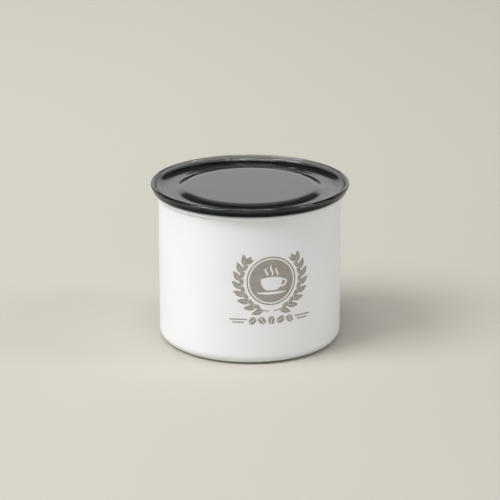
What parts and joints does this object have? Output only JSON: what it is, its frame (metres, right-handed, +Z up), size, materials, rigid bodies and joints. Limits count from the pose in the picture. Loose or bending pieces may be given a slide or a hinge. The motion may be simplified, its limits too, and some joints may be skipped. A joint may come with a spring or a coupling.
{
  "type": "coffee canister",
  "caption": "Round powder-coated steel coffee canister with a smoke-clear lid and, inside, a sliding air-valve plunger with a folding handle.",
  "frame": {"origin": "centre of the base, on the surface that the canister stands on", "axes": "+Z up along the canister's axis, -Y towards the printed front, +X to the right seen from the front"},
  "size_m": [0.1246, 0.1246, 0.1018],
  "materials": {
    "coated_steel": "white powder coat outside, brushed steel inside",
    "smoke_plastic": "glossy, smoke-tinted and see-through",
    "black_rubber": "satin",
    "black_plastic": "fine moulded texture",
    "handle_plastic": "semi-gloss",
    "seal_silicone": "satin silicone",
    "steel": "bright",
    "valve_plastic": "natural acetal, satin",
    "valve_rubber": "satin silicone",
    "print_ink": "matt taupe screen print on the can"
  },
  "bodies": {
    "can": {"canister_body": "coated_steel"},
    "lid": {"outer_lid": "smoke_plastic", "lid_gasket": "black_rubber"},
    "plunger": {"plunger_deck": "black_plastic", "plunger_base": "black_plastic", "wiper_seal": "seal_silicone", "plunger_screws": "steel", "filter_screen": "steel", "screen_ring": "black_plastic", "valve_spring": "steel"},
    "valve": {"valve_stem": "valve_plastic", "valve_gasket": "valve_rubber", "spring_cup": "valve_plastic", "stem_clip": "steel"},
    "bail": {"handle": "handle_plastic", "handle_pin_left": "steel", "handle_pin_right": "steel"}
  },
  "joints": [
    {"name": "lid_lift", "type": "slide", "parent": "can", "child": "lid", "axis": [0, 0, 1], "range_m": [0, 0.06]},
    {"name": "plunger_slide", "type": "slide", "parent": "can", "child": "plunger", "axis": [0, 0, 1], "range_m": [-0.034, 0]},
    {"name": "handle_fold", "type": "hinge", "parent": "plunger", "child": "bail", "pos_m": [0, 0, 0.05955], "axis": [-1, 0, 0], "range_deg": [0, 90]},
    {"name": "valve_open", "type": "slide", "parent": "plunger", "child": "valve", "axis": [0, 0, -1], "range_m": [0, 0.002], "deforming": ["valve_spring"]}
  ],
  "couplings": [
    {"joint": "valve_open", "follows": "handle_fold", "m_per_rad": 0.001273}
  ]
}
